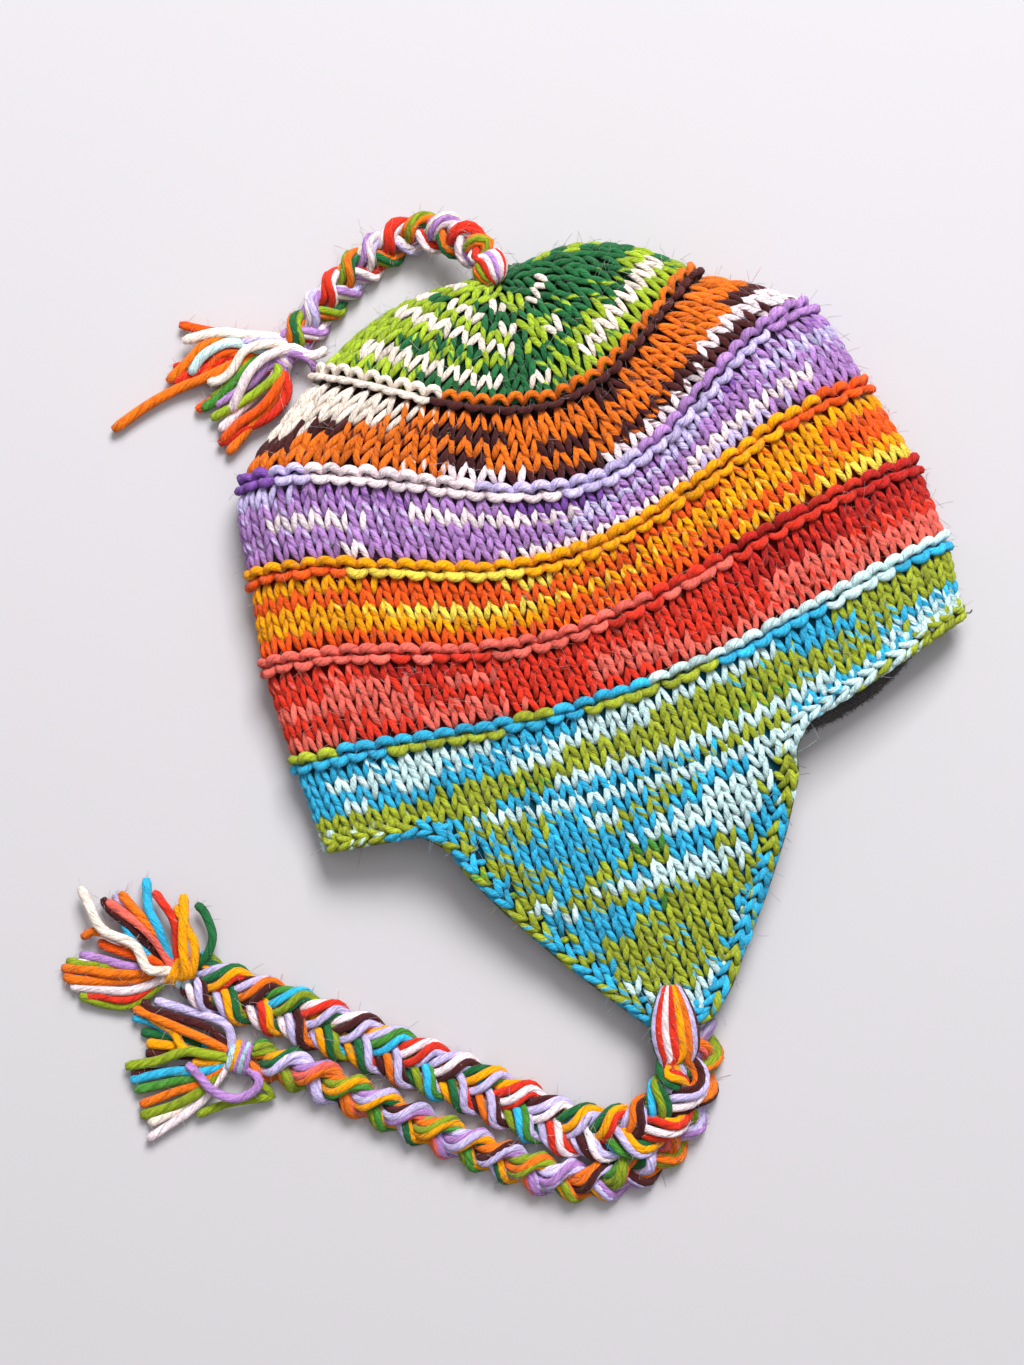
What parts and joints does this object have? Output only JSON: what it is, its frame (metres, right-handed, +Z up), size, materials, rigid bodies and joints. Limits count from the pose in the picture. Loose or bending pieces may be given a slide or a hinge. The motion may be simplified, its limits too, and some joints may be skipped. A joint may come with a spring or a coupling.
{
  "type": "earflap beanie",
  "caption": "Hand-knitted wool hat with ear flaps, braided ties, a braided topknot and tassels, lying flat on its side, open for a head at the rim.",
  "frame": {"origin": "on the surface that the hat lies on, under the middle of the box round the cap, flaps, edging and lining; the ties, topknot, wraps and tassels are not counted", "axes": "+X along the chord of the rim, from one side fold to the other, +Y from the flap's tip to the crown, +Z up, away from the surface"},
  "size_m": [0.3998, 0.4002, 0.0497],
  "materials": {
    "knit_wool": "chunky wool in stockinette bands with purl ridges: green, brown and orange, lilac, orange and yellow, red, blue and olive",
    "flap_wool": "chunky wool in stockinette: sky blue, ice blue and olive",
    "trim_wool": "crocheted wool edging: olive, sky blue and ice blue",
    "fleece": "charcoal brushed fleece",
    "braid_yarn": "plied wool yarn in many colours, braided, wrapped and cut to tassels"
  },
  "bodies": {
    "root": {"knit_cap": "knit_wool", "earflap_upper": "flap_wool", "earflap_lower": "flap_wool", "edge_trim": "trim_wool", "fleece_lining": "fleece", "tie_braid_upper": "braid_yarn", "tie_wrap_upper": "braid_yarn", "tie_tassel_upper": "braid_yarn", "tie_braid_lower": "braid_yarn", "tie_wrap_lower": "braid_yarn", "tie_tassel_lower": "braid_yarn", "top_braid": "braid_yarn", "top_wrap": "braid_yarn", "top_tassel": "braid_yarn"}
  },
  "joints": []
}
